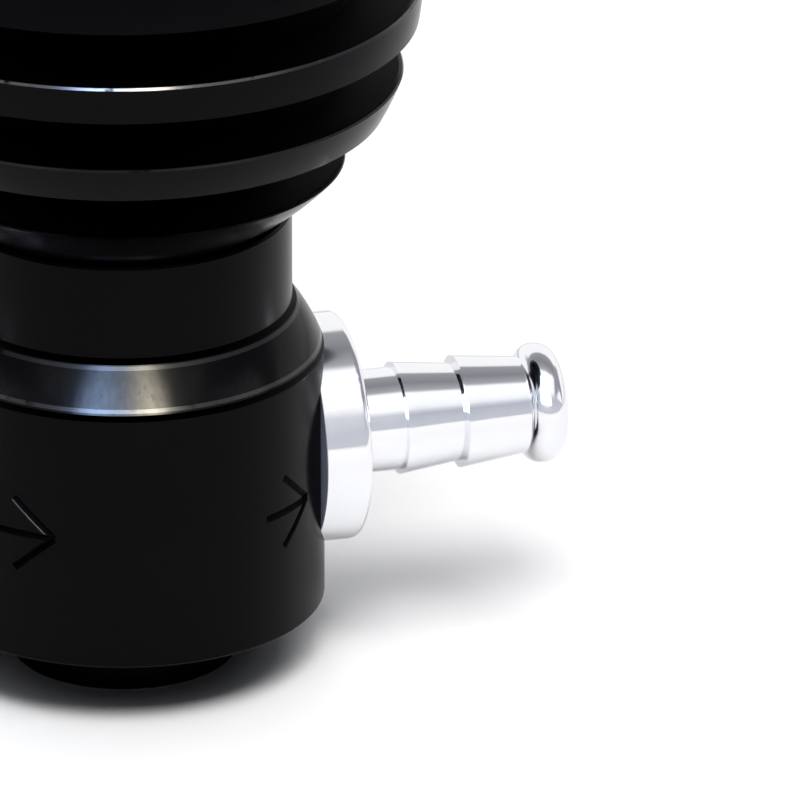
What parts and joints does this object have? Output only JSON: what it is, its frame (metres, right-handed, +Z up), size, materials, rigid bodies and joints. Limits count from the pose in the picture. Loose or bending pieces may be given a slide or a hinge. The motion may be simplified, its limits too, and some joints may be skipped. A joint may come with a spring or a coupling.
{
  "type": "manual boost controller",
  "caption": "Turned cylindrical valve housing with a grooved ball knob on top and a hose barb on each side; turning the knob sets the pressure at which air passes.",
  "frame": {"origin": "centre of the foot's underside, on the surface that the controller stands on", "axes": "+Z up along the knob's axis, +X along the outlet fitting (the way the air leaves), +Y towards the back"},
  "size_m": [0.057, 0.038, 0.0636],
  "materials": {
    "black_anodised": "black anodised, satin, fine turning marks",
    "bright_aluminium": "bright turned",
    "brass": "turned",
    "polished_steel": "polished",
    "spring_steel": "drawn wire",
    "black_steel": "black oxide",
    "black_rubber": "moulded"
  },
  "bodies": {
    "housing": {"body_housing": "black_anodised", "base_plug": "black_anodised", "base_plug_seal": "black_rubber", "outlet_fitting": "bright_aluminium", "inlet_fitting": "bright_aluminium", "outlet_fitting_seal": "black_rubber", "inlet_fitting_seal": "black_rubber", "valve_seat": "brass", "guide_post": "brass", "post_gasket": "bright_aluminium", "control_spring": "spring_steel"},
    "valve": {"valve_ball": "polished_steel", "ball_carrier": "brass"},
    "follower": {"follower_piston": "brass", "follower_seal": "black_rubber", "thrust_ball": "polished_steel"},
    "knob": {"knob": "black_anodised", "skirt_ring": "black_rubber", "knob_stop_screws": "black_steel", "thrust_pad": "polished_steel"}
  },
  "joints": [
    {"name": "valve_lift", "type": "slide", "parent": "housing", "child": "valve", "axis": [0, 0, 1], "range_m": [0, 0.0012], "stiffness_N_per_m": 800, "springref_m": -0.003},
    {"name": "knob_rise", "type": "slide", "parent": "housing", "child": "follower", "axis": [0, 0, 1], "range_m": [0, 0.004], "deforming": ["control_spring"]},
    {"name": "knob_turn", "type": "hinge", "parent": "follower", "child": "knob", "pos_m": [0, 0, 0.0465], "axis": [0, 0, 1], "range_deg": [0, 1440]}
  ],
  "couplings": [
    {"joint": "knob_rise", "follows": "knob_turn", "m_per_rad": 0.00015915}
  ]
}
